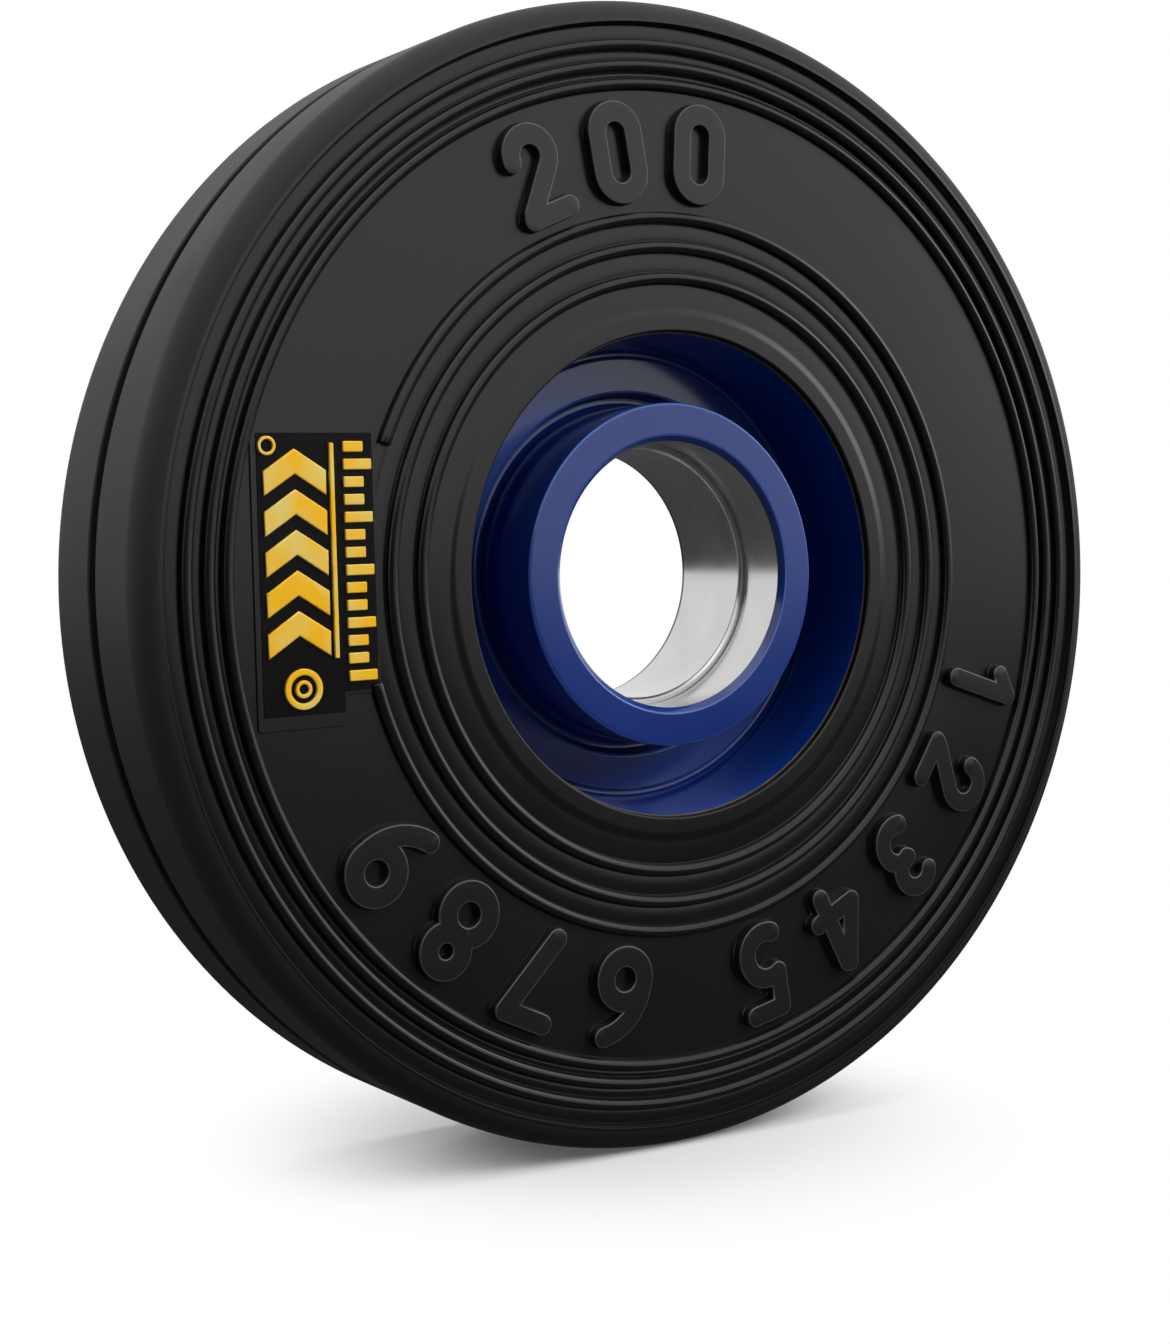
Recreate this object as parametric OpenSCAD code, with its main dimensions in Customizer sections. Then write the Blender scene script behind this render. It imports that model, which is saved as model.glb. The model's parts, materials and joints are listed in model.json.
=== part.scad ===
// Trolley wheel: a rubber tyre bonded on a cast-iron wheel centre with a
// machined bearing bore. Millimetres. The origin is the middle of the wheel,
// the axle runs along Y, the dressed face looks toward -Y and +Z is up.
// Every section below is drawn as radius and height, the height running
// toward the dressed face, and is then turned once round the axle.

/* [Tyre] */
// Outer diameter over the tread
tyre_d = 200; // [188:1:230]
// Width over the two shoulders
tyre_w = 37; // [34:0.5:50]
// Radius of the round shoulders
shoulder_r = 4.4; // [3:0.1:4.5]
// Width of the raised band between a shoulder and the side face
band_w = 4.7; // [4.6:0.1:6]
// Depth of the side faces below the raised bands
face_recess = 1.1; // [0.8:0.05:1.6]
// Width of the groove round the middle of the tread
tread_groove_w = 3; // [2:0.1:5]
// Depth of the groove round the middle of the tread
tread_groove_depth = 2.5; // [1:0.1:4]
// Radius of the rounded lips of that groove
tread_lip_r = 0.4; // [0.2:0.05:0.8]

/* [Beads on the side faces] */
// Radius of the half-round beads near the tread
outer_bead_r = 0.95; // [0.6:0.05:1]
// First outer bead, in from the tread
outer_bead_1 = 8.1; // [7:0.1:8.5]
// Second outer bead, in from the tread
outer_bead_2 = 11.7; // [11:0.1:12]
// Third outer bead, in from the tread
outer_bead_3 = 14.8; // [14.4:0.1:16]
// Radius of the half-round beads near the wheel centre
inner_bead_r = 1.05; // [0.6:0.05:1.1]
// First inner bead, out from the edge of the rubber
inner_bead_1 = 9.2; // [7:0.1:11]
// Second inner bead, out from the edge of the rubber
inner_bead_2 = 14.6; // [13.5:0.1:16]
// Third inner bead, out from the edge of the rubber
inner_bead_3 = 19.7; // [18.5:0.1:21]
// Angle that the third inner bead leaves free for a label, dressed face only
label_gap = 37.4; // [20:0.1:60]
// Turn of that gap's middle from the left, downward
label_turn = -1.9; // [-20:0.1:20]

/* [Edge of the rubber] */
// Width of the flat ring of rubber beside the wheel centre
edge_ring_w = 2.9; // [2:0.1:4]
// Width of the slope from that ring down to the side face
edge_slope_w = 1.2; // [0.5:0.1:2]
// Height of that ring over the side face
edge_rise = 0.4; // [0.2:0.05:0.8]
// Thickness of the rubber where it ends on the rim
edge_t = 1.2; // [0.8:0.05:1.6]

/* [Rim] */
// Diameter of the rim's opening at its edge
opening_d = 84.4; // [82:0.1:92]
// Width of the bare land of iron round that edge
land_w = 0.3; // [0.2:0.05:0.6]
// How far the rim's inner wall closes from its edge to the web
rim_flare = 2; // [1:0.1:3]
// Thickness of iron from the opening's edge out to the bond
rim_t = 6.3; // [5:0.1:9]
// Axial run of the bevel that the rubber tapers down on
bevel_h = 3; // [2:0.1:4]

/* [Web] */
// Height of the web's dressed face, from the wheel's middle
web_front_h = 1.7; // [0:0.1:5]
// Height of the web's rear face behind the wheel's middle
web_rear_h = 5.5; // [4:0.1:8]
// Width of the deep groove between the hub and the web
hub_groove_w = 2.4; // [2:0.1:3.4]
// Depth of that groove
hub_groove_depth = 3.2; // [1:0.1:4]
// Width of the shallow groove between the web and the rim
rim_groove_w = 1.1; // [1:0.05:2.4]
// Depth of that groove
rim_groove_depth = 1; // [0.6:0.05:2]
// Fillet in the deep groove
hub_groove_r = 1; // [0.3:0.05:1]
// Fillet in the shallow groove
rim_groove_r = 0.45; // [0.2:0.05:0.5]
// Rounding of the web's edges over both grooves
web_edge_r = 0.6; // [0.2:0.05:0.8]
// Fillets of the web's rear face
web_fillet_r = 3; // [1:0.1:4]

/* [Hub] */
// Outer diameter of the hub
hub_d = 60.4; // [57:0.1:62]
// Height of the hub's dressed face, from the wheel's middle
hub_front_h = 15.5; // [14:0.5:30]
// Height of the hub's plain face behind the wheel's middle
hub_rear_h = 15.5; // [14:0.5:30]
// Rounding of the hub's outer edges
hub_edge_r = 0.7; // [0.3:0.1:1.5]

/* [Bore] */
// Diameter of the bearing seat, for a bearing of 47 mm
seat_d = 47; // [46.5:0.5:52]
// Depth of the bearing seat
seat_depth = 11; // [8:0.5:14]
// Chamfer at the mouth of the seat
seat_chamfer = 1; // [0.5:0.1:1.5]
// Width of the relief groove at the foot of the seat
relief_w = 0.6; // [0.4:0.1:1.2]
// Depth of the relief groove
relief_depth = 0.3; // [0.1:0.05:0.5]
// Inner diameter of the ring that the bearing stops on
stop_d = 44.5; // [40:0.5:45]
// Thickness of that ring
stop_w = 3; // [2:0.1:5]
// Chamfer of that ring's inner edges
stop_chamfer = 0.5; // [0.1:0.05:0.6]
// Diameter of the bore behind the ring
bore_d = 46; // [45.5:0.5:48]
// Chamfer at the rear mouth of the bore
rear_chamfer = 0.5; // [0.3:0.1:1.5]

/* [Hidden] */
$fn = 144;
eps = 0.02;

tyre_r = tyre_d / 2;
half_w = tyre_w / 2;
face_h = half_w - face_recess;
edge_h = face_h + edge_rise;
land_h = edge_h - edge_t;

opening_r = opening_d / 2;
rubber_in_r = opening_r + land_w;
bond_r = opening_r + rim_t;
rim_foot_r = opening_r - rim_flare;
face_in_r = rubber_in_r + edge_ring_w + edge_slope_w;

hub_r = hub_d / 2;
seat_r = seat_d / 2;
stop_r = stop_d / 2;
bore_r = bore_d / 2;
stop_front_h = hub_front_h - seat_depth;
stop_rear_h = stop_front_h - stop_w;

web_in_r = hub_r + hub_groove_w;
web_out_r = rim_foot_r - rim_groove_w;
hub_groove_h = web_front_h - hub_groove_depth;
rim_groove_h = web_front_h - rim_groove_depth;

outer_beads = [for (d = [outer_bead_1, outer_bead_2, outer_bead_3]) tyre_r - d];
inner_beads = [for (d = [inner_bead_1, inner_bead_2]) rubber_in_r + d];
last_bead = rubber_in_r + inner_bead_3;

function unit(v) = v / norm(v);

// The patch between a corner and the arc of radius r that touches both of
// its edges, which leave the corner along a and b. Added, it fills a hollow
// corner; taken away, it rounds a sharp one.
module blend(at, a, b, r) {
  ua = unit(a);
  ub = unit(b);
  middle = unit(ua + ub);
  half = acos(ua * ub) / 2;
  run = r / tan(half);
  centre = at + middle * r / sin(half);
  points = [at + ua * run, at - middle * eps, at + ub * run, centre];
  difference() {
    polygon(points, [cross(ua, ub) < 0 ? [0, 1, 2, 3] : [3, 2, 1, 0]]);
    translate(centre) circle(r);
  }
}

// A section on both sides of the wheel's middle plane
module both_sides() {
  children();
  mirror([0, 1]) children();
}

// Turns a section round the axle, its height pointing to the dressed face
module turned(start = 0, angle = 360) {
  rotate([90, 0, 0]) rotate([0, 0, start]) rotate_extrude(angle = angle) children();
}

// Outline of the rim, which the rubber is bonded on
module rim_section() {
  polygon([
    [rim_foot_r, -web_rear_h], [opening_r, -land_h], [rubber_in_r, -land_h],
    [bond_r, bevel_h - land_h], [bond_r, land_h - bevel_h],
    [rubber_in_r, land_h], [opening_r, land_h], [rim_foot_r, rim_groove_h]
  ]);
}

// Web with a deep groove beside the hub and a shallow one beside the rim
module web_section() {
  wall = [rim_flare, land_h - rim_groove_h];
  rear_wall = [rim_flare, web_rear_h - land_h];
  difference() {
    translate([hub_r - 1, -web_rear_h])
      square([rim_foot_r - hub_r + 2, web_rear_h + web_front_h]);
    translate([hub_r, hub_groove_h]) square([hub_groove_w, hub_groove_depth + 1]);
    translate([web_out_r, rim_groove_h])
      square([rim_groove_w + 3, rim_groove_depth + 1]);
    blend([web_in_r, web_front_h], [1, 0], [0, -1], web_edge_r);
    blend([web_out_r, web_front_h], [-1, 0], [0, -1], web_edge_r);
  }
  blend([hub_r, hub_groove_h], [1, 0], [0, 1], hub_groove_r);
  blend([web_in_r, hub_groove_h], [-1, 0], [0, 1], hub_groove_r);
  blend([web_out_r, rim_groove_h], [1, 0], [0, 1], rim_groove_r);
  blend([rim_foot_r, rim_groove_h], [-1, 0], wall, rim_groove_r);
  blend([hub_r, -web_rear_h], [1, 0], [0, -1], web_fillet_r);
  blend([rim_foot_r, -web_rear_h], [-1, 0], rear_wall, web_fillet_r);
}

// Hub with the bearing seat, the ring that it ends on and the bore behind
module hub_section() {
  difference() {
    translate([stop_r, -hub_rear_h])
      square([hub_r - stop_r, hub_rear_h + hub_front_h]);
    blend([hub_r, hub_front_h], [-1, 0], [0, -1], hub_edge_r);
    blend([hub_r, -hub_rear_h], [-1, 0], [0, 1], hub_edge_r);
    // seat and its relief groove
    translate([stop_r - 1, stop_front_h])
      square([seat_r - stop_r + 1, seat_depth + 1]);
    translate([seat_r - 1, stop_front_h])
      square([1 + relief_depth, relief_w]);
    translate([seat_r, hub_front_h]) mouth(seat_chamfer);
    // bore behind the ring
    translate([stop_r - 1, -hub_rear_h - 1])
      square([bore_r - stop_r + 1, hub_rear_h + 1 + stop_rear_h]);
    mirror([0, 1]) translate([bore_r, hub_rear_h]) mouth(rear_chamfer);
    // inner edges of the ring
    translate([stop_r, stop_front_h]) mouth(stop_chamfer);
    mirror([0, 1]) translate([stop_r, -stop_rear_h]) mouth(stop_chamfer);
  }
}

// Chamfer at the mouth of a bore, below and outside the corner at the origin
module mouth(c) {
  polygon([[-1, -c - 1], [-1, 1], [c + 1, 1]]);
}

// Cast-iron wheel centre: rim, web and hub in one
module wheel_centre() {
  color("royalblue") turned() {
    rim_section();
    web_section();
    hub_section();
  }
}

// Half-round beads that stand on a side face
module beads(radii, r) {
  for (bead = radii) translate([bead, face_h]) circle(r, $fn = 32);
}

// Raised ring of rubber beside the wheel centre
module edge_ring() {
  polygon([
    [rubber_in_r, 0], [face_in_r, 0], [face_in_r, face_h],
    [rubber_in_r + edge_ring_w, edge_h], [rubber_in_r, edge_h]
  ]);
}

// Rubber tyre: grooved tread, round shoulders and beaded side faces
module tyre() {
  color("dimgray") {
    turned() tyre_section();
    turned(180 + label_turn + label_gap / 2, 360 - label_gap)
      beads([last_bead], inner_bead_r);
  }
}

// Section of the tyre, without the bead that stops at the label
module tyre_section() {
  difference() {
    union() {
      translate([rubber_in_r, -face_h])
        square([tyre_r - rubber_in_r, 2 * face_h]);
      translate([tyre_r - band_w, -half_w]) square([band_w, tyre_w]);
      both_sides() {
        beads(outer_beads, outer_bead_r);
        beads(inner_beads, inner_bead_r);
        edge_ring();
      }
      mirror([0, 1]) beads([last_bead], inner_bead_r);
    }
    both_sides() {
      blend([tyre_r, half_w], [-1, 0], [0, -1], shoulder_r);
      blend([tyre_r, tread_groove_w / 2], [-1, 0], [0, 1], tread_lip_r);
    }
    translate([tyre_r - tread_groove_depth, -tread_groove_w / 2])
      square([tread_groove_depth + 1, tread_groove_w]);
    rim_section();
  }
}

wheel_centre();
tyre();
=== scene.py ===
# %% [markdown]
# # A trolley wheel in Blender
# The wheel is a block of moulded rubber bonded on a cast-iron centre, and the
# centre is painted blue apart from its machined bore. The solids come from the
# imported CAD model. This lesson gives them their finish: rounded edges, gloss
# paint, turned metal, satin rubber, raised numbers and a printed label.

import json
import math

import bmesh
import bpy
from mathutils import Matrix, Vector


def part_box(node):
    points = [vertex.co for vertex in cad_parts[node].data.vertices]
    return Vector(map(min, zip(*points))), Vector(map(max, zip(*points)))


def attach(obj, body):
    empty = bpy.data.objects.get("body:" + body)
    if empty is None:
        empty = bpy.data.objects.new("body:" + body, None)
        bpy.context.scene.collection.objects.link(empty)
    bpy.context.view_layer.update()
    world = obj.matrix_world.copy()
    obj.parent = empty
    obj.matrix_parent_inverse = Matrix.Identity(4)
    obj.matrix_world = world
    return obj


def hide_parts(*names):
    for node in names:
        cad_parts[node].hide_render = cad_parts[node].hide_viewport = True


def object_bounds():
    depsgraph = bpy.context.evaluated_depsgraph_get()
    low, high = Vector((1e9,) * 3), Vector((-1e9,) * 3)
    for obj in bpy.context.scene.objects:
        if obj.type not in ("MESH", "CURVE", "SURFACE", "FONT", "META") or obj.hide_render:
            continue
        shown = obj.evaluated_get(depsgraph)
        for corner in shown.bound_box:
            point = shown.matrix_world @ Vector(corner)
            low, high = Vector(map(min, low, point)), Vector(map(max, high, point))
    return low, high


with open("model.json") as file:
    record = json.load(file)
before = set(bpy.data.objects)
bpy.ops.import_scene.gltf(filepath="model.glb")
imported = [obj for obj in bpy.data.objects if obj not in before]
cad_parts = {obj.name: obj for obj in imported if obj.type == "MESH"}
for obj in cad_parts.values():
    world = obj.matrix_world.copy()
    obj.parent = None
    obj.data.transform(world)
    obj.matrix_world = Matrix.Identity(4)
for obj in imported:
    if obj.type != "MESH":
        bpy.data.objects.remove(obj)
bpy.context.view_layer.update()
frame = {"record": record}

# %% [markdown]
# ## Sizes
# The frame is in metres, and a wheel is easier to think of in millimetres, so
# every size here is in millimetres and is scaled by MM where a mesh is made.
# A place on the wheel is a radius from the axle and a height over the wheel's
# middle plane, toward the dressed face, which looks to -Y. The frame gives the
# main sizes, and the others repeat those of the CAD source, so that both
# models keep to one set of numbers.

# %% Sizes that the frame gives
MM = 0.001
mounts = {mount["name"]: mount for mount in frame["record"]["mounts"]}


def reach(cad_node):
    """Largest radius and largest height of a CAD node, in millimetres."""
    low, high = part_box(cad_node)
    return high.x / MM, -low.y / MM


def mount_span(name):
    """Radius and the two heights of a bore that the record names."""
    mount = mounts[name]
    middle = -mount["pos_m"][1] / MM
    half = mount["dims"]["length_mm"] / 2
    return mount["dims"]["r_mm"], middle - half, middle + half


tyre_r, half_w = reach("tyre")
bond_r, land_h = reach("wheel_centre")
hub_front_h = -mounts["hub_face_front"]["pos_m"][1] / MM
hub_rear_h = -mounts["hub_face_rear"]["pos_m"][1] / MM
seat_r, seat_low_h, seat_high_h = mount_span("bearing_seat")
bore_r, bore_low_h, stop_rear_h = mount_span("rear_bore")
print("tyre", tyre_r, half_w, "centre", bond_r, land_h, "hub", hub_front_h, hub_rear_h)
print("seat", seat_r, seat_low_h, seat_high_h, "bore", bore_r, bore_low_h, stop_rear_h)

# %% Sizes of the rubber
face_h = half_w - 1.1
shoulder_r = 4.4
band_r = tyre_r - 4.7
tread_groove_half_w = 1.5
tread_groove_r = tyre_r - 2.5
opening_r = bond_r - 6.3
rubber_in_r = opening_r + 0.3
bond_h = land_h - 3
edge_h = face_h + 0.4
ring_out_r = rubber_in_r + 2.9
face_in_r = ring_out_r + 1.2
outer_bead_r = 0.95
outer_beads = [tyre_r - 8.1, tyre_r - 11.7, tyre_r - 14.8]
inner_bead_r = 1.05
inner_beads = [rubber_in_r + 14.6, rubber_in_r + 9.2]
last_bead = rubber_in_r + 19.7
print("side face from radius", round(face_in_r, 2), "to", round(band_r, 2), "at height", round(face_h, 2))

# %% Sizes of the casting
rim_foot_r = opening_r - 2
rim_groove_h = 0.7
web_front_h = 1.7
web_rear_h = -5.5
web_out_r = rim_foot_r - 1.1
hub_r = 30.2
web_in_r = hub_r + 2.4
hub_groove_h = web_front_h - 3.2
relief_r = seat_r + 0.3
stop_r = bore_r - 0.75
stop_chamfer = 0.5
stop_front_h = seat_low_h - 0.6
print("web from radius", web_in_r, "to", round(web_out_r, 2), "stop ring", stop_r, "open")

# %% [markdown]
# ## The camera
# The photograph was taken from the left of the axle and level with it. The
# focal length, the place and the shift come from the wheel's own circles: each
# is an ellipse in the photograph, and all of them have to agree on one camera.
# A shift moves the picture without turning the camera, so its uprights stay
# upright.

# %% Camera at the photograph's place
PHOTO_W, PHOTO_H = 1170, 1344
SENSOR = 36.0
FOCAL_PX = 2150
AZIMUTH = math.radians(-35.44)
CAMERA_MM = Vector((-218.3, -324.6, 2.7))
# the pixel that the camera's level axis goes through
AXIS_PX = Vector((684.0, 558.8))

camera_data = bpy.data.cameras.new("camera")
camera_data.sensor_width = SENSOR
camera_data.lens = FOCAL_PX * SENSOR / PHOTO_H
camera_data.shift_x = (PHOTO_W / 2 - AXIS_PX.x) / PHOTO_H
camera_data.shift_y = (AXIS_PX.y - PHOTO_H / 2) / PHOTO_H
camera_data.clip_start = 0.01
camera = bpy.data.objects.new("camera", camera_data)
camera.location = CAMERA_MM * MM
camera.rotation_euler = (math.pi / 2, 0, AZIMUTH)
bpy.context.scene.collection.objects.link(camera)
bpy.context.scene.camera = camera
print("lens", round(camera_data.lens, 2))
print("shift", round(camera_data.shift_x, 4), round(camera_data.shift_y, 4))

# %% [markdown]
# ## Materials from noise
# Real rubber, paint and metal are never quite even. An image could show that,
# but nodes need no file and no unwrapping: noise on the Object coordinates
# stays in place on the wheel, and it moves a colour or a roughness a little
# between two values, or adds a height as bump. A few short helpers wire that.

# %% Helpers for nodes
def new_material(name):
    """An empty material with its node tree and its Principled shader."""
    material = bpy.data.materials.new(name)
    material.use_nodes = True
    return material, material.node_tree, material.node_tree.nodes["Principled BSDF"]


def node(tree, kind, **settings):
    """A shader node with the sockets that are named set to their values."""
    made = tree.nodes.new("ShaderNode" + kind)
    for name, value in settings.items():
        made.inputs[name].default_value = value
    return made


def object_noise(tree, waves, detail=4.0, stretch=(1, 1, 1)):
    """Noise that stays in place on the piece, in waves for each metre."""
    place = tree.nodes.new("ShaderNodeTexCoord")
    scaled = node(tree, "Mapping", Scale=stretch)
    noise = node(tree, "TexNoise", Scale=waves, Detail=detail)
    tree.links.new(place.outputs["Object"], scaled.inputs["Vector"])
    tree.links.new(scaled.outputs["Vector"], noise.inputs["Vector"])
    return noise.outputs["Fac"]


# %% Helpers that drive a socket
def remap(tree, source, low, high, socket, start=0.3, end=0.7):
    """Drives a value socket smoothly from low to high as the source rises."""
    span = node(tree, "MapRange", **{"From Min": start, "From Max": end, "To Min": low, "To Max": high})
    span.interpolation_type = "SMOOTHSTEP"
    tree.links.new(source, span.inputs["Value"])
    tree.links.new(span.outputs["Result"], socket)


def shade(tree, source, low, high, socket, start=0.3, end=0.7):
    """Drives a colour socket between two colours as the source rises."""
    ramp = tree.nodes.new("ShaderNodeValToRGB")
    ramp.color_ramp.elements[0].position = start
    ramp.color_ramp.elements[0].color = (*low, 1)
    ramp.color_ramp.elements[1].position = end
    ramp.color_ramp.elements[1].color = (*high, 1)
    tree.links.new(source, ramp.inputs["Fac"])
    tree.links.new(ramp.outputs["Color"], socket)


def bumped(tree, shader, source, strength, depth_mm):
    """Adds a height to whatever bump the shader has so far."""
    bump = node(tree, "Bump", Strength=strength, Distance=depth_mm * MM)
    tree.links.new(source, bump.inputs["Height"])
    socket = shader.inputs["Normal"]
    if socket.is_linked:
        tree.links.new(socket.links[0].from_socket, bump.inputs["Normal"])
    tree.links.new(bump.outputs["Normal"], socket)


# %% [markdown]
# ## Turned shapes
# A casting and a moulded tyre are bodies of revolution, so each one starts as
# a flat section. Every corner of the section has its own rounding, because
# light catches the rounded edges first. A bevel on the finished solid would be
# slow and would need a weight on each edge, so the corners are rounded with a
# vertex bevel while the section is still flat. One spin then makes the solid.

# %% Helpers for turned shapes
SPIN_STEPS = 288
AXLE = (0, 1, 0)
# a corner with a larger rounding than this gets more segments
WIDE = 2


def bevel(bm, geom, rounding, segments, affect):
    """Rounds corners or edges by a size in millimetres."""
    bmesh.ops.bevel(bm, geom=geom, offset=rounding * MM, offset_type="OFFSET", segments=segments,
                    profile=0.5, affect=affect, material=-1)


def round_corner(bm, vert, rounding):
    """Rounds one corner of a flat outline."""
    bevel(bm, [vert], rounding, segments=4 if rounding < WIDE else 12, affect="VERTICES")


def section(corners):
    """A flat face from corners given as radius, height and rounding."""
    bm = bmesh.new()
    verts = [bm.verts.new((r * MM, -h * MM, 0)) for r, h, _ in corners]
    bm.faces.new(verts)
    for vert, (_, _, rounding) in zip(verts, corners):
        if rounding:
            round_corner(bm, vert, rounding)
    return bm


def turned(corners, steps=SPIN_STEPS):
    """A section turned once round the axle."""
    bm = section(corners)
    bmesh.ops.delete(bm, geom=bm.faces[:], context="FACES_ONLY")
    bmesh.ops.spin(bm, geom=bm.verts[:] + bm.edges[:], axis=AXLE, angle=2 * math.pi, steps=steps,
                   use_merge=True)
    bmesh.ops.remove_doubles(bm, verts=bm.verts[:], dist=1e-7)
    bmesh.ops.recalc_face_normals(bm, faces=bm.faces[:])
    return bm


# %% Helpers that end a bmesh
def to_mesh(name, bm):
    """A mesh with what the bmesh holds. The bmesh is freed."""
    mesh = bpy.data.meshes.new(name)
    bm.to_mesh(mesh)
    bm.free()
    return mesh


def to_piece(name, bm, slot, *materials):
    """A smooth piece from a finished bmesh, riding on the wheel."""
    for face in bm.faces:
        face.smooth = True
    mesh = to_mesh(name, bm)
    for material in materials:
        mesh.materials.append(material)
    piece = bpy.data.objects.new(name, mesh)
    bpy.context.scene.collection.objects.link(piece)
    flat = piece.modifiers.new("flat faces stay flat", "WEIGHTED_NORMAL")
    flat.weight = 100
    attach(piece, "root")
    print(name, "faces", len(mesh.polygons))
    return piece


# %% [markdown]
# ## The rubber tyre
# Moulded rubber is a very dark grey rather than black, with a satin sheen that
# changes a little from place to place. The tread is rougher and looks duller.
# The side faces lie a little under the shoulders and carry round-topped beads,
# each with a fine crease at its foot where the mould was cut. Beads and creases
# are corners of the one section: separate rings on a plain face would be
# simpler, but would leave no crease.

# %% Rubber
# shares by which the patches change the tone and the roughness
TONE_SPREAD = 0.15
ROUGH_SPREAD = 0.08


def make_rubber(name, tone, roughness):
    """Satin black rubber with the grain of its mould."""
    material, tree, shader = new_material(name)
    patches = object_noise(tree, waves=26, detail=3)
    low = tone * (1 - TONE_SPREAD)
    high = tone * (1 + TONE_SPREAD)
    shade(tree, patches, (low, low, low), (high, high, high * 0.98), shader.inputs["Base Color"])
    remap(tree, patches, roughness * (1 - ROUGH_SPREAD), roughness * (1 + ROUGH_SPREAD),
          shader.inputs["Roughness"])
    bumped(tree, shader, object_noise(tree, waves=150, detail=3), strength=0.15, depth_mm=0.1)
    bumped(tree, shader, object_noise(tree, waves=2200, detail=3), strength=0.2, depth_mm=0.02)
    print(name, "tone", tone, "roughness", roughness)
    return material


rubber = make_rubber("moulded_rubber", tone=0.0047, roughness=0.25)
tread_rubber = make_rubber("tread_rubber", tone=0.0047, roughness=0.58)
# the numbers' rubber is paler than the side face's: painted light that makes their tops look brighter
number_rubber = make_rubber("number_rubber", tone=0.009, roughness=0.25)
# a paler rubber for the rounded top edges of the numbers: a painted highlight
number_edge_highlight_rubber = make_rubber("number_edge_highlight_rubber", tone=0.055, roughness=0.3)

# %% Corners of the tyre's section
CREASE_W = 0.2
CREASE_D = 0.4
BEAD_H = 1.3
# share of a bead's half width that its rounded top takes
BEAD_ROUND = 0.96
# how far the wall inside the shoulder leans outward
WALL_SLOPE = 0.5


def bead(radius, half):
    """Corners of a round-topped bead with a crease at each foot, going inward."""
    return [
        (radius + half + CREASE_W, face_h, 0),
        (radius + half, face_h - CREASE_D, 0),
        (radius + half, face_h + BEAD_H, half * BEAD_ROUND),
        (radius - half, face_h + BEAD_H, half * BEAD_ROUND),
        (radius - half, face_h - CREASE_D, 0),
        (radius - half - CREASE_W, face_h, 0),
    ]


def crease(radius):
    """Corners of a crease by itself."""
    return [(radius + CREASE_W, face_h, 0), (radius, face_h - CREASE_D, 0), (radius - CREASE_W, face_h, 0)]


def half_tyre(last):
    """Corners from the middle of the tread over a side face to the iron."""
    corners = [
        (tread_groove_r, tread_groove_half_w, 0.3),
        (tyre_r, tread_groove_half_w, 0.4),
        (tyre_r, half_w, shoulder_r),
        (band_r + WALL_SLOPE, half_w, 0.2),
        (band_r, face_h - CREASE_D, 0),
        (band_r - CREASE_W, face_h, 0),
    ]
    for radius in outer_beads:
        corners += bead(radius, outer_bead_r)
    corners += last
    for radius in inner_beads:
        corners += bead(radius, inner_bead_r)
    return corners + [
        (face_in_r, face_h, 0.3),
        (ring_out_r, edge_h, 0.3),
        (rubber_in_r, edge_h, 0.35),
        (rubber_in_r, land_h, 0),
        (bond_r, bond_h, 0),
    ]


dressed_side = half_tyre(crease(last_bead + inner_bead_r) + crease(last_bead - inner_bead_r))
plain_side = [(r, -h, rounding) for r, h, rounding in reversed(half_tyre(bead(last_bead, inner_bead_r)))]
print("corners of the tyre's section:", len(dressed_side) + len(plain_side))

# %% [markdown]
# Of the three inner beads, the one farthest from the axle stops above and
# below the label on the dressed side. A full turn can't leave a gap, so this
# bead gets an arc of its own with a softened edge round each end. Angles on
# that face are read like a clock, in degrees from the top.

# %% Bead that stops at the label
LABEL_CLOCK = -88.1
LABEL_GAP = 35.6
# how deep a raised form is set into the rubber that carries it
SUNK = 0.3


def broken_bead():
    """The bead that stops at the label, as a mesh."""
    foot_h = face_h - SUNK
    top_h = face_h + BEAD_H
    rounding = inner_bead_r * BEAD_ROUND
    inner = last_bead - inner_bead_r
    outer = last_bead + inner_bead_r
    corners = [(inner, foot_h, 0), (inner, top_h, rounding), (outer, top_h, rounding), (outer, foot_h, 0)]
    arc = section(corners)
    start = LABEL_CLOCK + LABEL_GAP / 2
    sweep = 360 - LABEL_GAP
    bmesh.ops.rotate(arc, verts=arc.verts[:], matrix=Matrix.Rotation(math.radians(start - 90), 3, "Y"))
    bmesh.ops.spin(arc, geom=arc.faces[:], axis=AXLE, angle=math.radians(sweep),
                   steps=round(SPIN_STEPS * sweep / 360))
    # the spin leaves faces of four corners, so larger ones are the two ends
    end_edges = {edge for face in arc.faces if len(face.verts) > 4 for edge in face.edges}
    bevel(arc, list(end_edges), rounding=0.25, segments=3, affect="EDGES")
    bmesh.ops.recalc_face_normals(arc, faces=arc.faces[:])
    return to_mesh("broken_bead", arc)


# %% Tyre
# outside this radius the rubber has the tread's duller finish
tread_from_r = band_r + 1
tyre_bm = turned(dressed_side + plain_side)
bead_mesh = broken_bead()
tyre_bm.from_mesh(bead_mesh)
bpy.data.meshes.remove(bead_mesh)
for face in tyre_bm.faces:
    middle = face.calc_center_median()
    face.material_index = 1 if math.hypot(middle.x, middle.z) > tread_from_r * MM else 0
tyre = to_piece("rubber_tyre", tyre_bm, "black_rubber", rubber, tread_rubber)
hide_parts("tyre")
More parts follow.
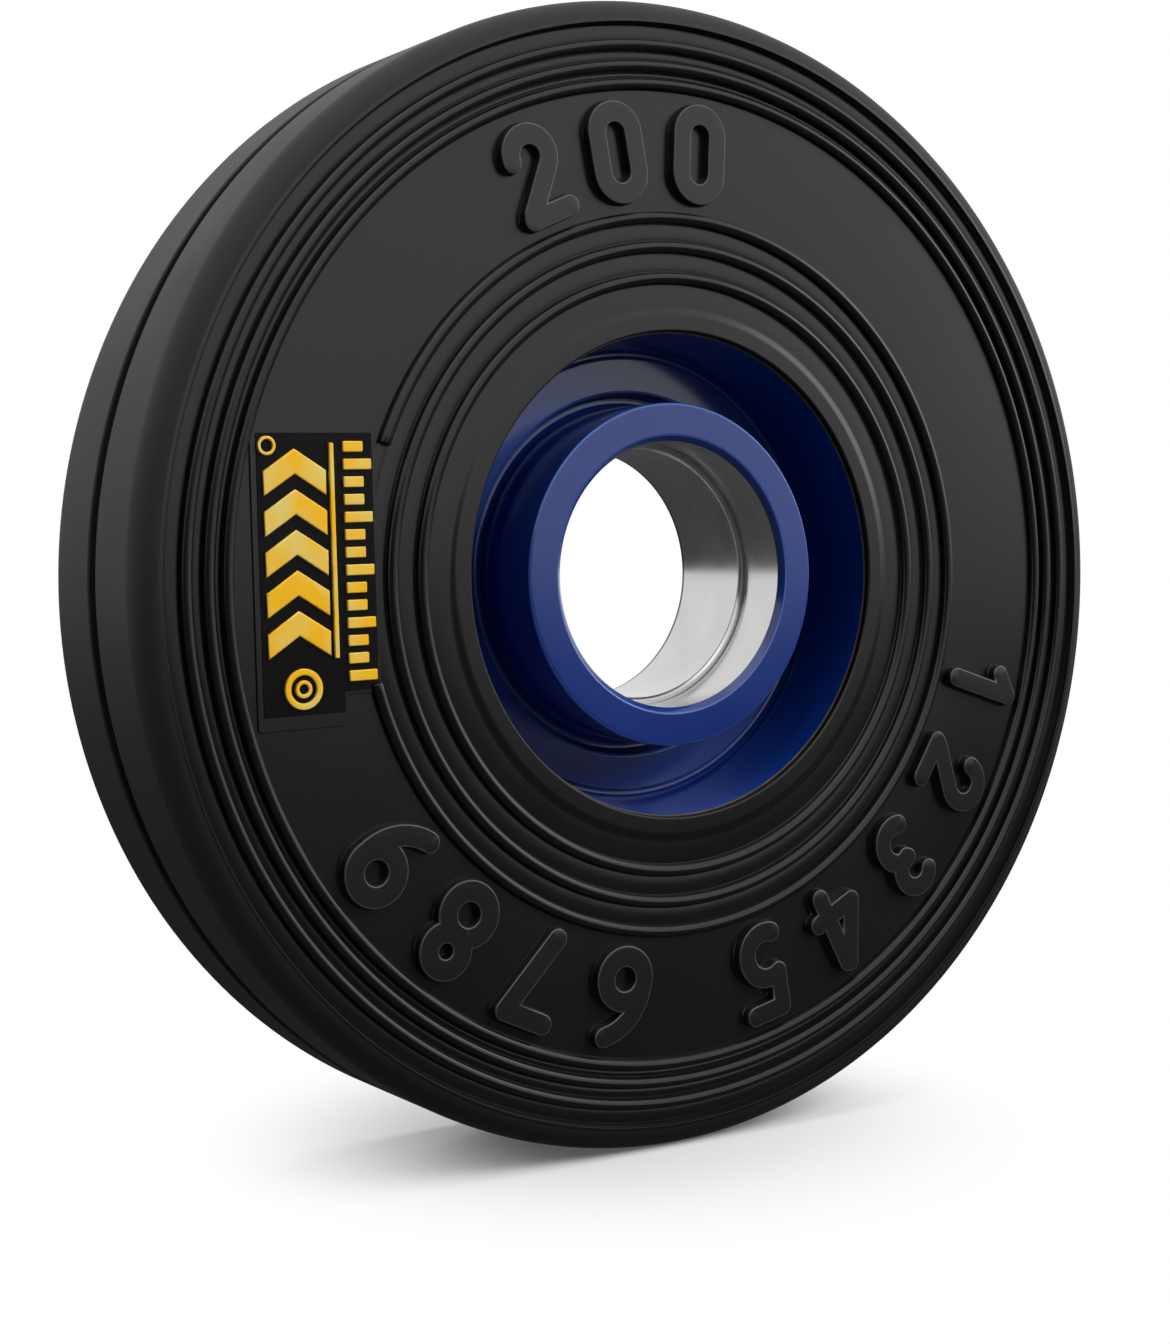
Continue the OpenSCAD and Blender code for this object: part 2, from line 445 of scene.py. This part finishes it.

# %% [markdown]
# ## The wheel centre
# One casting: a deep hub, a web and a rim that opens toward the viewer. It is
# sprayed with gloss enamel, and the bore is then turned bare to take a bearing.
# A thin line of tan primer shows at the two edges where paint meets rubber and
# where it meets bare iron. The rounded edges of the hub and the web get a paler
# blue: a painted highlight. All of this is one solid with four materials: each
# face takes its material from where it lies on the section, so that the lines
# between them are as sharp as a brush or a cutting tool leaves them.

# %% Enamel, bare iron and primer
def make_enamel(name, low, high):
    """Gloss enamel with a faint orange peel."""
    material, tree, shader = new_material(name)
    clouds = object_noise(tree, waves=45, detail=3)
    shade(tree, clouds, low, high, shader.inputs["Base Color"])
    remap(tree, clouds, low=0.16, high=0.22, socket=shader.inputs["Roughness"])
    shader.inputs["Coat Weight"].default_value = 0.5
    shader.inputs["Coat Roughness"].default_value = 0.12
    bumped(tree, shader, object_noise(tree, waves=500, detail=2), strength=0.08, depth_mm=0.04)
    return material


def make_bare_iron():
    """Turned iron: fine rings round the axle, and a few smears."""
    material, tree, shader = new_material("turned_iron")
    shader.inputs["Metallic"].default_value = 1.0
    smears = object_noise(tree, waves=120, detail=5)
    shade(tree, smears, low=(0.57, 0.565, 0.56), high=(0.64, 0.635, 0.63),
          socket=shader.inputs["Base Color"])
    remap(tree, smears, low=0.17, high=0.24, socket=shader.inputs["Roughness"])
    rings = object_noise(tree, waves=1.0, detail=3, stretch=(60, 9000, 60))
    bumped(tree, shader, rings, strength=0.08, depth_mm=0.01)
    scratches = object_noise(tree, waves=1.0, detail=4, stretch=(1500, 120, 900))
    bumped(tree, shader, scratches, strength=0.05, depth_mm=0.01)
    return material


def make_primer():
    """Tan primer that shows in thin lines."""
    material, tree, shader = new_material("tan_primer")
    shade(tree, object_noise(tree, waves=300, detail=3), low=(0.045, 0.034, 0.022),
          high=(0.085, 0.065, 0.042), socket=shader.inputs["Base Color"])
    shader.inputs["Roughness"].default_value = 0.6
    return material


enamel = make_enamel("blue_enamel", low=(0.00225, 0.0213, 0.157), high=(0.0029, 0.0256, 0.184))
bare_iron = make_bare_iron()
primer = make_primer()
# a paler blue for rounded edges: a painted highlight
edge_highlight_enamel = make_enamel("edge_highlight_enamel", low=(0.03, 0.09, 0.33), high=(0.04, 0.12, 0.40))
finishes = [enamel, bare_iron, primer, edge_highlight_enamel]
print("finishes of the casting:", [material.name for material in finishes])

# %% Corners of the casting's section
seat_chamfer = hub_front_h - seat_high_h
rear_chamfer = bore_low_h - hub_rear_h
# width of the primer's line at the seat's mouth
primer_w = 0.15
# how far the paint runs into the rear bore
paint_lap = 0.6
casting_corners = [
    (bore_r + rear_chamfer, hub_rear_h, 0.1),
    (bore_r, bore_low_h, 0.1),
    (bore_r, bore_low_h + paint_lap, 0),
    (bore_r, stop_rear_h, 0),
    (stop_r + stop_chamfer, stop_rear_h, 0.1),
    (stop_r, stop_rear_h + stop_chamfer, 0.1),
    (stop_r, stop_front_h - stop_chamfer, 0.15),
    (stop_r + stop_chamfer, stop_front_h, 0.15),
    (relief_r, stop_front_h, 0.1),
    (relief_r, seat_low_h, 0.05),
    (seat_r, seat_low_h, 0.08),
    (seat_r, seat_high_h - primer_w, 0),
    (seat_r, seat_high_h, 0),
    (seat_r + seat_chamfer, hub_front_h, 0.25),
    (hub_r, hub_front_h, 0.6),
    (hub_r, hub_groove_h, 1.0),
    (web_in_r, hub_groove_h, 1.0),
    (web_in_r, web_front_h, 0.6),
    (web_out_r, web_front_h, 0.4),
    (web_out_r, rim_groove_h, 0.4),
    (rim_foot_r, rim_groove_h, 0.45),
    (opening_r, land_h, 0.12),
    (rubber_in_r, land_h, 0),
    (bond_r, bond_h, 0),
    (bond_r, -bond_h, 0),
    (rubber_in_r, -land_h, 0),
    (opening_r, -land_h, 0.12),
    (rim_foot_r, web_rear_h, 3),
    (hub_r, web_rear_h, 3),
    (hub_r, hub_rear_h, 0.7),
]
print("corners of the casting's section:", len(casting_corners))

# %% Finish of each face of the casting
# edges with a painted highlight: radius, height and how far the paler paint reaches
highlight_edges = [
    (hub_r, hub_front_h, 0.3), (seat_r + seat_chamfer, hub_front_h, 0.1),
    (web_in_r, web_front_h, 0.3), (web_out_r, web_front_h, 0.2),
]
# a face is at a radius when its middle is nearer to it than this
NEAR = 0.02
# how far the primer comes down from the rim's land
land_primer = 0.1


def finish_of(face):
    """Which of the finishes a face has, by its place in the list."""
    middle = face.calc_center_median()
    radius = math.hypot(middle.x, middle.z) / MM
    height = -middle.y / MM
    if radius < relief_r + NEAR and bore_low_h + paint_lap < height < seat_high_h - primer_w:
        return finishes.index(bare_iron)
    on_mouth = radius < seat_r + NEAR and seat_high_h - primer_w < height < seat_high_h
    on_land = radius > opening_r - NEAR and abs(height) > land_h - land_primer
    if on_mouth or on_land:
        return finishes.index(primer)
    on_edge = any(abs(radius - r) < span and abs(height - h) < span for r, h, span in highlight_edges)
    return finishes.index(edge_highlight_enamel if on_edge else enamel)


# %% Casting
casting_bm = turned(casting_corners)
for face in casting_bm.faces:
    face.material_index = finish_of(face)
casting = to_piece("blue_casting", casting_bm, "blue_paint", *finishes)
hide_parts("wheel_centre")

# %% [markdown]
# ## Raised numbers
# The numbers are ridges with a flat top and round ends, as a cutter leaves them
# in a mould. A text object would be quicker, but it hasn't a cutter's round
# ends and sloping sides. These are drawn the way that cutter moves: half of
# the ridge's section makes a half-turn, the whole section is pushed straight
# or swung round a centre, and another half-turn ends the stroke. The strokes
# of one number are then fused, so that their tops become one face with sharp
# inner corners.

# %% Pen that leaves a ridge
# half of the ridge's section, from the middle of its foot to that of its top
RIDGE = [
    (0, -SUNK), (2.14, -SUNK), (2.1, -0.04), (1.98, 0.08), (1.92, 0.3),
    (1.85, 1.42), (1.8, 1.58), (1.71, 1.68), (1.57, 1.72), (0, 1.72),
]
END_STEPS = 14
# angle of one step of a swing, in degrees
SWING_STEP = 8
UP = Vector((0, 0, 1))


class Pen:
    """Moves over a flat plane and leaves a ridge behind it, in millimetres."""

    def __init__(self, u, v, heading_deg, closed=False):
        self.bm = bmesh.new()
        self.place = Vector((u, v, 0))
        self.heading = math.radians(heading_deg)
        self.closed = closed
        if not closed:
            self.end_cap(1)

    def across(self):
        """Sideways from the pen's heading, to its left."""
        return Vector((-math.sin(self.heading), math.cos(self.heading), 0))

    def outline(self, points):
        """Joined edges across the pen's heading."""
        verts = [self.bm.verts.new(self.place + self.across() * r + UP * h) for r, h in points]
        return verts + [self.bm.edges.new(pair) for pair in zip(verts, verts[1:])]

    def ridge(self):
        """The whole section: one half, and the other half mirrored."""
        return self.outline(RIDGE + [(-r, h) for r, h in reversed(RIDGE[:-1])])

    def end_cap(self, side):
        """Half a turn of half the section, round the pen's place."""
        half = self.outline([(side * r, h) for r, h in RIDGE])
        bmesh.ops.spin(self.bm, geom=half, cent=self.place, axis=UP, angle=math.pi, steps=END_STEPS)

    def go(self, length):
        """Straight on."""
        step = Vector((math.cos(self.heading), math.sin(self.heading), 0)) * length
        edges = [item for item in self.ridge() if isinstance(item, bmesh.types.BMEdge)]
        made = bmesh.ops.extrude_edge_only(self.bm, edges=edges)
        moved = [item for item in made["geom"] if isinstance(item, bmesh.types.BMVert)]
        bmesh.ops.translate(self.bm, verts=moved, vec=step)
        self.place = self.place + step

    def turn(self, radius, degrees):
        """Round a centre, to the left for a positive angle."""
        angle = math.radians(degrees)
        centre = self.place + self.across() * math.copysign(radius, degrees)
        steps = max(4, round(abs(degrees) / SWING_STEP))
        bmesh.ops.spin(self.bm, geom=self.ridge(), cent=centre, axis=UP, angle=angle, steps=steps)
        self.place = centre + Matrix.Rotation(angle, 3, "Z") @ (self.place - centre)
        self.heading += angle

    def lift(self):
        """The finished stroke as an object."""
        if not self.closed:
            self.end_cap(-1)
        bmesh.ops.remove_doubles(self.bm, verts=self.bm.verts[:], dist=1e-3)
        bmesh.ops.recalc_face_normals(self.bm, faces=self.bm.faces[:])
        return bpy.data.objects.new("stroke", to_mesh("stroke", self.bm))


# %% Strokes that the pen makes
def stroke(u, v, heading, *moves, closed=False):
    """One stroke. A move is a length, or a radius and an angle."""
    pen = Pen(u, v, heading, closed)
    for move in moves:
        if isinstance(move, tuple):
            pen.turn(*move)
        else:
            pen.go(move)
    return pen.lift()


def ring(u, v, radius):
    """A closed ring round a centre."""
    return stroke(u, v + radius, 180, (radius, 360), closed=True)


def line(u1, v1, u2, v2):
    """A straight stroke between two points."""
    return stroke(u1, v1, math.degrees(math.atan2(v2 - v1, u2 - u1)), math.hypot(u2 - u1, v2 - v1))


# %% [markdown]
# Each number below is a few strokes on a plane whose origin is the middle of
# the number's foot. Headings are in degrees: 0 is to the right and 90 is up.
# The flag of the one ends a little inside its stem, because two round ends in
# one place, with facets that almost match, can't be fused cleanly.

# %% Strokes of the numbers
TALL = 14.0
BOWL = 3.7


def zero():
    straight = TALL - 2 * BOWL
    return [stroke(-BOWL, TALL - BOWL, -90, straight, (BOWL, 180), straight, (BOWL, 180), closed=True)]


def one():
    return [line(-2.6, TALL - 3.1, 0.4, TALL - 0.5), line(0.8, TALL, 0.8, 0)]


def two():
    return [stroke(-BOWL, TALL - BOWL - 0.2, 90, (BOWL, -222), 9.2), line(-BOWL, 0, BOWL + 0.4, 0)]


def three():
    return [stroke(-2.7, TALL - 1.3, 45, (3.4, -225)), stroke(-0.6, 7.4, 0, (3.7, -225))]


def four():
    return [line(1.2, TALL, -4.2, 4.0), line(-4.2, 4.0, 4.4, 4.0), line(1.9, TALL - 0.4, 1.9, 0)]


def five():
    return [line(-2.8, TALL, 3.4, TALL), line(-2.8, TALL, -3.2, 7.6), stroke(-3.2, 7.6, 28, (4.2, -236))]


def six():
    return [stroke(2.6, TALL, 200, (9.8, 66)), ring(0, 3.9, 3.9)]


def seven():
    return [line(-4.0, TALL, 4.0, TALL), line(4.0, TALL, -1.0, 0)]


def eight():
    return [ring(0, TALL - 3.1, 3.1), ring(0, 3.9, 3.9)]


def nine():
    return [stroke(-2.6, 0, 20, (9.8, 66)), ring(0, TALL - 3.9, 3.9)]


# %% [markdown]
# Strokes that cross share a flat top, so they can't simply lie in each other.
# A Boolean modifier with the exact solver fuses them into one closed mesh.
# Numbers stand on a ring round the axle with their tops outward. The rounded
# edges of their tops get a paler rubber, a painted highlight.

# %% Numbers on the tyre
NUMBER_RING_R = 73.6
# over this height on the ridge, its rounded edge gets a painted highlight in paler rubber
EDGE_HIGHLIGHT_H = 1.55
# a face that looks up more than this is part of the flat top
FLAT_TOP = 0.98


def fused(strokes):
    """One mesh from strokes that cross."""
    first = strokes[0]
    bpy.context.scene.collection.objects.link(first)
    for other in strokes[1:]:
        join = first.modifiers.new("fuse", "BOOLEAN")
        join.operation = "UNION"
        join.solver = "EXACT"
        join.object = other
    evaluated = first.evaluated_get(bpy.context.evaluated_depsgraph_get())
    mesh = bpy.data.meshes.new_from_object(evaluated)
    for item in strokes:
        bpy.data.objects.remove(item)
    return mesh


def number_place(clock_deg):
    """Matrix that stands a number up on the dressed side, its top outward."""
    clock = math.radians(clock_deg)
    right = Vector((math.cos(clock), 0, -math.sin(clock)))
    out = Vector((math.sin(clock), 0, math.cos(clock)))
    toward_viewer = Vector((0, -1, 0))
    axes = Matrix((right, out, toward_viewer)).transposed().to_4x4()
    foot = (out * (NUMBER_RING_R - TALL / 2) + toward_viewer * face_h) * MM
    return Matrix.Translation(foot) @ axes @ Matrix.Scale(MM, 4)


def numbers(name, shapes, start, step):
    """One piece with a row of numbers round the tyre, from a clock angle on."""
    bm = bmesh.new()
    for i, shape in enumerate(shapes):
        mesh = fused(shape())
        for face in mesh.polygons:
            face.material_index = 1 if face.center.z > EDGE_HIGHLIGHT_H and face.normal.z < FLAT_TOP else 0
        mesh.transform(number_place(start + step * i))
        bm.from_mesh(mesh)
        bpy.data.meshes.remove(mesh)
    to_piece(name, bm, "black_rubber", number_rubber, number_edge_highlight_rubber)


numbers("raised_size", [two, zero, zero], start=-24.8, step=13.4)
numbers("raised_dial_right", [one, two, three, four, five], start=106.8, step=15.0)
numbers("raised_dial_left", [six, seven, eight, nine], start=190.7, step=13.8)

# %% [markdown]
# ## The printed label
# A flat pad is moulded on the side face, with a smooth black label on it. The
# print is a plain design: chevrons that point the way the wheel rolls, a long
# line, a scale of short bars and three rings, in a yellow that fades to pale
# gold. An image could carry the print, but thick print stands up and has edges
# that catch the light, so each mark is a thin raised patch with a bevel.

# %% Label materials
def make_label_black():
    """Smooth black label film."""
    material, tree, shader = new_material("label_black")
    shade(tree, object_noise(tree, waves=60, detail=2), low=(0.0012, 0.0012, 0.0012),
          high=(0.002, 0.002, 0.002), socket=shader.inputs["Base Color"])
    shader.inputs["Roughness"].default_value = 0.38
    shader.inputs["Specular IOR Level"].default_value = 0.16
    return material


def make_print():
    """Raised yellow print that fades to pale gold."""
    material, tree, shader = new_material("yellow_print")
    shade(tree, object_noise(tree, waves=110, detail=2), low=(0.90, 0.48, 0.003),
          high=(0.76, 0.60, 0.15), socket=shader.inputs["Base Color"], start=0.42, end=0.68)
    shader.inputs["Roughness"].default_value = 0.34
    return material


label_black = make_label_black()
print_yellow = make_print()
print("label materials:", label_black.name, print_yellow.name)

# %% Places and patches on the label
LABEL_TILT = math.radians(2.0)
LABEL_MIDDLE = Vector((-70.3, 0.0))
# heights of the print's foot and top over the side face
PRINT_LOW = 0.3
PRINT_HIGH = 0.95


def on_label(s, t):
    """x and z of a place on the label: s toward the axle, t up."""
    return LABEL_MIDDLE + Matrix.Rotation(LABEL_TILT, 2) @ Vector((s, t))


def patch(name, material, outline, low, high, edge, corner=0.0):
    """A flat raised patch from its outline of s and t, its heights and its roundings."""
    bm = bmesh.new()
    verts = []
    for s, t in outline:
        x, z = on_label(s, t)
        verts.append(bm.verts.new((x * MM, -(face_h + low) * MM, z * MM)))
    bm.faces.new(verts)
    if corner:
        for vert in verts:
            round_corner(bm, vert, corner)
    made = bmesh.ops.extrude_face_region(bm, geom=bm.faces[:])
    top = [item for item in made["geom"] if isinstance(item, bmesh.types.BMVert)]
    bmesh.ops.translate(bm, verts=top, vec=(0, -(high - low) * MM, 0))
    rim = [item for item in bm.edges if item.verts[0] in top and item.verts[1] in top]
    bevel(bm, rim, edge, segments=2, affect="EDGES")
    bmesh.ops.recalc_face_normals(bm, faces=bm.faces[:])
    to_piece(name, bm, "black_rubber", material)


def bar(name, s1, t1, s2, t2):
    """An upright bar of print between two corners."""
    outline = [(s1, t1), (s2, t1), (s2, t2), (s1, t2)]
    patch(name, print_yellow, outline, PRINT_LOW, PRINT_HIGH, edge=0.16, corner=0.2)


# %% Pad and label film
pad_outline = [(-10.6, 23.0), (10.8, 23.0), (10.8, -18.9), (4.7, -18.9), (4.7, -23.8), (-10.6, -23.8)]
film_outline = [(-9.6, 22.4), (10.2, 22.4), (10.2, -18.3), (4.3, -18.3), (4.3, -21.6), (-9.6, -21.6)]
patch("label_pad", rubber, pad_outline, low=-0.2, high=0.30, edge=0.12, corner=0.5)
patch("label_film", label_black, film_outline, low=0.1, high=0.42, edge=0.06, corner=0.3)

# %% Chevrons
CHEVRONS = 5
CHEVRON_PITCH = 6.3
CHEVRON_RISE = 3.4
CHEVRON_BAND = 3.9
chevron_left, chevron_tip, chevron_right = -8.7, -3.4, 1.9

for i in range(CHEVRONS):
    low_t = -12.6 + CHEVRON_PITCH * i
    high_t = low_t + CHEVRON_BAND
    chevron = [
        (chevron_left, low_t), (chevron_tip, low_t + CHEVRON_RISE), (chevron_right, low_t),
        (chevron_right, high_t), (chevron_tip, high_t + CHEVRON_RISE), (chevron_left, high_t),
    ]
    patch(f"print_chevron_{i}", print_yellow, chevron, PRINT_LOW, PRINT_HIGH, edge=0.2)

# %% Line and scale
TICKS = 14
TICK_PITCH = 2.78
TICK_H = 1.7
# every third tick is a long one
LONG_EVERY = 3
LONG_TICK = 4.9
SHORT_TICK = 3.5
ticks_s = 4.9

bar("print_line", 2.5, -13.0, 3.3, 20.8)
for i in range(TICKS):
    length = SHORT_TICK if i % LONG_EVERY else LONG_TICK
    tick_t = -16.8 + TICK_PITCH * i
    bar(f"print_tick_{i:02d}", ticks_s, tick_t, ticks_s + length, tick_t + TICK_H)


# %% Rings
def print_ring(name, s, t, radius, width):
    """A flat ring of print round a place on the label."""
    x, z = on_label(s, t)
    low_h = face_h + PRINT_LOW
    high_h = face_h + PRINT_HIGH
    inside = radius - width
    corners = [(radius, low_h, 0), (radius, high_h, 0.12), (inside, high_h, 0.12), (inside, low_h, 0)]
    bm = turned(corners, steps=72)
    bmesh.ops.translate(bm, verts=bm.verts[:], vec=(x * MM, 0, z * MM))
    to_piece(name, bm, "black_rubber", print_yellow)


print_ring("print_ring", s=-3.0, t=-17.5, radius=3.2, width=1.0)
print_ring("print_ring_small", s=-3.0, t=-17.5, radius=1.4, width=0.6)
print_ring("print_ring_top", s=-8.0, t=20.4, radius=1.5, width=0.5)

# %% [markdown]
# ## Floor and background
# The wheel stands on a pale floor in a white studio. A plain white floor would
# need so much light that the wheel turned pale too, so this one adds a glow to
# its own diffuse light: it is almost white, and the soft shadow under the tyre
# stays. Farther out it is plain white. Bounced light meets a dull floor
# instead, which doesn't brighten the wheel from below.

# %% Helpers for the stage
FLOOR_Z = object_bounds()[0].z
FLOOR_HALF = 6.0


def stage_plane(name, half, height):
    """A square plane that isn't part of the wheel."""
    bm = bmesh.new()
    bmesh.ops.create_grid(bm, x_segments=1, y_segments=1, size=half)
    bmesh.ops.translate(bm, verts=bm.verts[:], vec=(0, 0, height))
    plane = bpy.data.objects.new(name, to_mesh(name, bm))
    bpy.context.scene.collection.objects.link(plane)
    return plane


def seen_rays(tree):
    """1 for rays of the camera, of reflections and of glass, and 0 for light."""
    rays = tree.nodes.new("ShaderNodeLightPath")
    total = rays.outputs["Is Camera Ray"]
    for kind in ("Is Glossy Ray", "Is Transmission Ray"):
        larger = tree.nodes.new("ShaderNodeMath")
        larger.operation = "MAXIMUM"
        tree.links.new(total, larger.inputs[0])
        tree.links.new(rays.outputs[kind], larger.inputs[1])
        total = larger.outputs[0]
    return total


def mix(tree, first, second):
    """A Mix Shader: the first shader at a factor of 0 and the second at 1."""
    made = tree.nodes.new("ShaderNodeMixShader")
    tree.links.new(first.outputs[0], made.inputs[1])
    tree.links.new(second.outputs[0], made.inputs[2])
    return made


def level_distance(tree):
    """How far a place is from the wheel, measured along the floor, in metres."""
    place = tree.nodes.new("ShaderNodeTexCoord")
    level = node(tree, "Mapping", Scale=(1, 1, 0))
    distance = tree.nodes.new("ShaderNodeVectorMath")
    distance.operation = "LENGTH"
    tree.links.new(place.outputs["Object"], level.inputs["Vector"])
    tree.links.new(level.outputs["Vector"], distance.inputs[0])
    return distance.outputs["Value"]


# %% Floor
# the floor fades to plain white between these distances
FADE_NEAR = 0.02
FADE_FAR = 0.078


def make_floor():
    """Pale floor: it keeps the wheel's shadow and is plain white far away."""
    material, tree, dull = new_material("pale_floor")
    dull.inputs["Base Color"].default_value = (0.16, 0.16, 0.16, 1)
    dull.inputs["Roughness"].default_value = 0.9
    pale = node(tree, "BsdfDiffuse", Color=(0.6, 0.6, 0.6, 1))
    glow = node(tree, "Emission", Strength=0.08)
    white = node(tree, "Emission", Strength=1.0)
    lit = tree.nodes.new("ShaderNodeAddShader")
    tree.links.new(pale.outputs[0], lit.inputs[0])
    tree.links.new(glow.outputs[0], lit.inputs[1])
    shown = mix(tree, lit, white)
    remap(tree, level_distance(tree), 0.0, 1.0, shown.inputs["Fac"], start=FADE_NEAR, end=FADE_FAR)
    surface = mix(tree, dull, shown)
    tree.links.new(seen_rays(tree), surface.inputs["Fac"])
    tree.links.new(surface.outputs[0], tree.nodes["Material Output"].inputs["Surface"])
    return material


floor = stage_plane("floor", FLOOR_HALF, FLOOR_Z)
floor.data.materials.append(make_floor())
print("floor at", round(FLOOR_Z / MM, 2), "mm")

# %% [markdown]
# ## Dark cards
# A white room makes gloss paint and bare metal look flat. A studio lays a dark
# card on the floor and stands another one in front, low and to the left, and
# each curved surface then reflects dark and white side by side. A darker room
# would do the same, but would also show behind the wheel. Here only reflections
# see the cards, and the floor's card gets paler farther away.

# %% Cards
# where the floor's card starts to get paler, and where it has its far tone
CARD_FADE_NEAR = 0.4
CARD_FADE_FAR = 5.0


def make_card(name, near, far):
    """Dark card with a faint unevenness, and its tones near the wheel and far away."""
    material, tree, _ = new_material(name)
    dark = node(tree, "Emission")
    shade(tree, object_noise(tree, waves=3, detail=2), low=(0.85, 0.85, 0.85), high=(1, 1, 1),
          socket=dark.inputs["Color"])
    remap(tree, level_distance(tree), near, far, dark.inputs["Strength"],
          start=CARD_FADE_NEAR, end=CARD_FADE_FAR)
    tree.links.new(dark.outputs[0], tree.nodes["Material Output"].inputs["Surface"])
    return material


def only_reflected(card, near, far):
    """Gives a card its tones and hides it from every ray but those of reflections."""
    card.data.materials.append(make_card(card.name, near, far))
    card.visible_camera = False
    card.visible_diffuse = False
    card.visible_shadow = False
    card.visible_transmission = False
    print(card.name, "tone", near, "to", far)


floor_card = stage_plane("floor_card", FLOOR_HALF, FLOOR_Z + 0.2 * MM)
only_reflected(floor_card, near=0.085, far=0.5)
side_card = stage_plane("side_card", half=1.0, height=0)
card_place = Vector((-0.92, -1.17, -0.55))
card_facing = Vector((card_place.x, card_place.y, 0)).to_track_quat("Z", "Y")
side_card.data.transform(Matrix.LocRotScale(card_place, card_facing, None))
only_reflected(side_card, near=0.04, far=0.04)

# %% [markdown]
# ## Light
# A catalogue studio is a white room with large soft lamps. The camera,
# reflections and glass see the room white, but it gives only a little even
# light: with more, the black rubber would wash out. Three soft lamps, in front
# on the right, above and behind, stay out of reflections. They light the
# tread and the beads and make the shadow on the floor. Two more show only in
# reflections, where they draw the bright lines on rounded edges.

# %% Room
AMBIENT = 0.16
world = bpy.data.worlds.new("studio")
bpy.context.scene.world = world
world.use_nodes = True
room = world.node_tree
ambient = room.nodes["Background"]
ambient.inputs["Color"].default_value = (1, 1, 1, 1)
ambient.inputs["Strength"].default_value = AMBIENT
white_room = node(room, "Background", Color=(1, 1, 1, 1), Strength=1.0)
seen_room = mix(room, ambient, white_room)
room.links.new(seen_rays(room), seen_room.inputs["Fac"])
room.links.new(seen_room.outputs[0], room.nodes["World Output"].inputs["Surface"])
print("room", AMBIENT, "for light and white for the eye")


# %% Lamps
def soft_lamp(name, place, size, power):
    """A square lamp that looks at the wheel's middle, out of its reflections."""
    lamp = bpy.data.lights.new(name, "AREA")
    lamp.shape = "SQUARE"
    lamp.size = size
    lamp.energy = power
    holder = bpy.data.objects.new(name, lamp)
    holder.location = place
    holder.rotation_euler = (-Vector(place)).to_track_quat("-Z", "Y").to_euler()
    holder.visible_glossy = False
    bpy.context.scene.collection.objects.link(holder)
    print(name, power, "W")
    return holder


def edge_lamp(name, place, size, power):
    """A lamp that shows only in reflections, so that it draws bright edges."""
    holder = soft_lamp(name, place, size, power)
    holder.visible_glossy = True
    holder.visible_diffuse = False


soft_lamp("key_lamp", place=(0.75, -0.75, 0.75), size=0.9, power=22.5)
soft_lamp("top_lamp", place=(0.0, 0.0, 1.2), size=0.8, power=11.0)
soft_lamp("rear_lamp", place=(-0.45, 1.1, 0.5), size=0.9, power=9.0)
edge_lamp("right_edge_lamp", place=(1.35, -0.64, 0.5), size=0.7, power=2.5)
edge_lamp("left_edge_lamp", place=(-0.45, -0.55, 1.3), size=0.9, power=1.5)

bpy.context.scene.view_settings.view_transform = "Standard"
